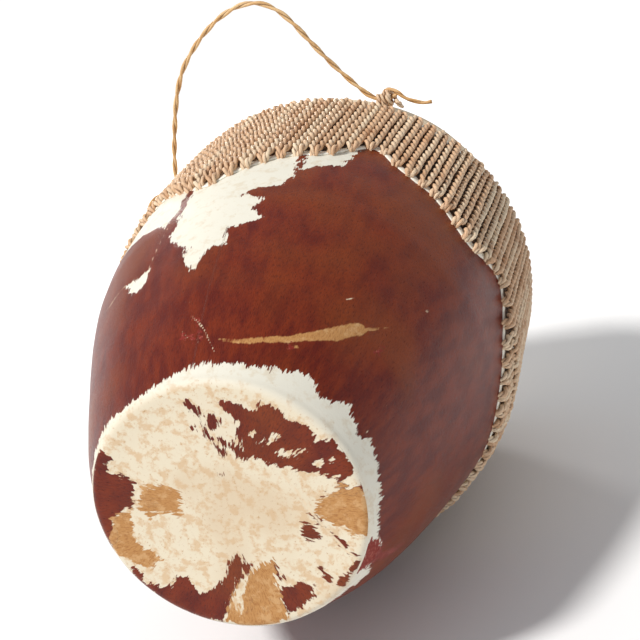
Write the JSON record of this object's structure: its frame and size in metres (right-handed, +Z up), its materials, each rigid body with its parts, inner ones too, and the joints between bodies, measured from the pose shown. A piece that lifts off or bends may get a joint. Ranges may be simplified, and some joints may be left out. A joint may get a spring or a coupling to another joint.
{
  "type": "laced barrel drum",
  "caption": "Barrel drum lying on its side: hair-on cowhide over the small end, playing skin over the wide end, twisted thong lacing and a carrying loop.",
  "frame": {"origin": "on the ground under the middle of the drum, which lies on its side", "axes": "+Z up; the drum's own axis lies along Y, with the small hide-covered end facing -Y and the playing head facing +Y"},
  "size_m": [0.294, 0.37, 0.3682],
  "materials": {
    "carved_wood": "hand-carved softwood, dry and unvarnished",
    "hair_on_hide": "glossy short cowhair, chestnut with white patches",
    "scraped_skin": "scraped, stretched rawhide, semi-matt",
    "white_rawhide": "flat white rawhide strip",
    "twisted_thong": "two-ply twisted rawhide, dry, tan",
    "handle_thong": "two-ply twisted rawhide, darker and smoother"
  },
  "bodies": {
    "root": {"wood_shell": "carved_wood", "base_hide": "hair_on_hide", "playing_head": "scraped_skin", "hide_hem_strip": "white_rawhide", "head_hem_strip": "white_rawhide", "lacing_01": "twisted_thong", "lacing_02": "twisted_thong", "lacing_03": "twisted_thong", "lacing_04": "twisted_thong", "lacing_05": "twisted_thong", "lacing_06": "twisted_thong", "lacing_07": "twisted_thong", "lacing_08": "twisted_thong", "lacing_09": "twisted_thong", "lacing_10": "twisted_thong", "lacing_11": "twisted_thong", "lacing_12": "twisted_thong", "handle_knot_left": "twisted_thong", "handle_knot_right": "twisted_thong"},
    "handle": {"handle_cord": "handle_thong"}
  },
  "joints": [
    {"name": "handle_swing", "type": "hinge", "parent": "root", "child": "handle", "pos_m": [-0.02822, 0.162, 0.25418], "axis": [0.967, 0, 0.2546], "range_deg": [-80, 32]}
  ]
}
